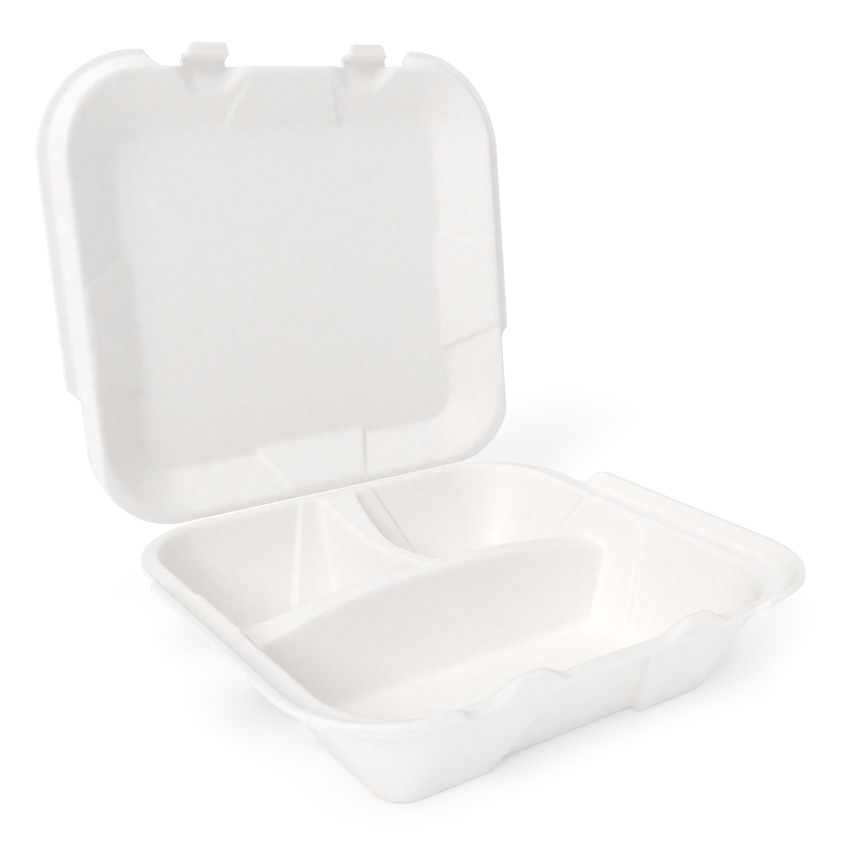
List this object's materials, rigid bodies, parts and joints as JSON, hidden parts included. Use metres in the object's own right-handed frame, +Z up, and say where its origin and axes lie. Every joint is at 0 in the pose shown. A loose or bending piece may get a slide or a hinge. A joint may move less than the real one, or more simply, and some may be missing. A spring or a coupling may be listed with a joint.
{
  "type": "hinged foam food container",
  "caption": "Foam clamshell food container with a divided tray, a raised front and side flange, and a shallow hinged lid with front locking tabs, standing open.",
  "frame": {"origin": "middle of the open container's bounding box, on the table", "axes": "+Z up, +X along the hinge to the right seen from the front, -Y towards the front lip"},
  "size_m": [0.214, 0.2246, 0.2283],
  "materials": {
    "foam": "satin white foam"
  },
  "bodies": {
    "tray": {"tray": "foam"},
    "lid": {"lid": "foam"}
  },
  "joints": [
    {"name": "lid_hinge", "type": "hinge", "parent": "tray", "child": "lid", "pos_m": [0, 0.07373, 0.0425], "axis": [-1, 0, 0], "range_deg": [-98.2, 81.8]}
  ]
}
